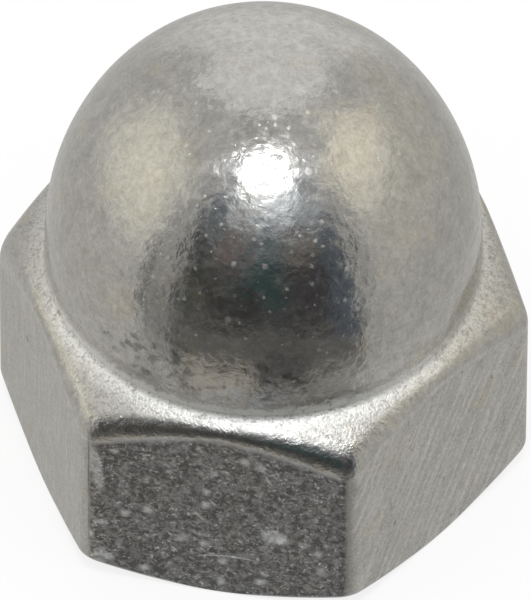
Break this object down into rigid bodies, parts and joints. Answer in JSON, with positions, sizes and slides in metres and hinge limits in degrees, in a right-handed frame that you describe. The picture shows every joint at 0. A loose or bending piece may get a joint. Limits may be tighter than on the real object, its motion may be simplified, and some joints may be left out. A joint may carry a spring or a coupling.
{
  "type": "cap nut",
  "caption": "Domed hexagon cap nut with a blind threaded hole that covers the end of a bolt or stud.",
  "frame": {"origin": "centre of the bearing face, on the thread's axis", "axes": "+Z along the thread's axis from the bearing face to the crown; one pair of wrench flats faces -Y and +Y, so two corners point along -X and +X"},
  "size_m": [0.0182, 0.016, 0.0176],
  "materials": {
    "nickel_plated_steel": "satin nickel plate over steel: smooth dome, grainy ledge, scuffed and lightly pitted flats"
  },
  "bodies": {
    "root": {"cap_nut": "nickel_plated_steel"}
  },
  "joints": []
}
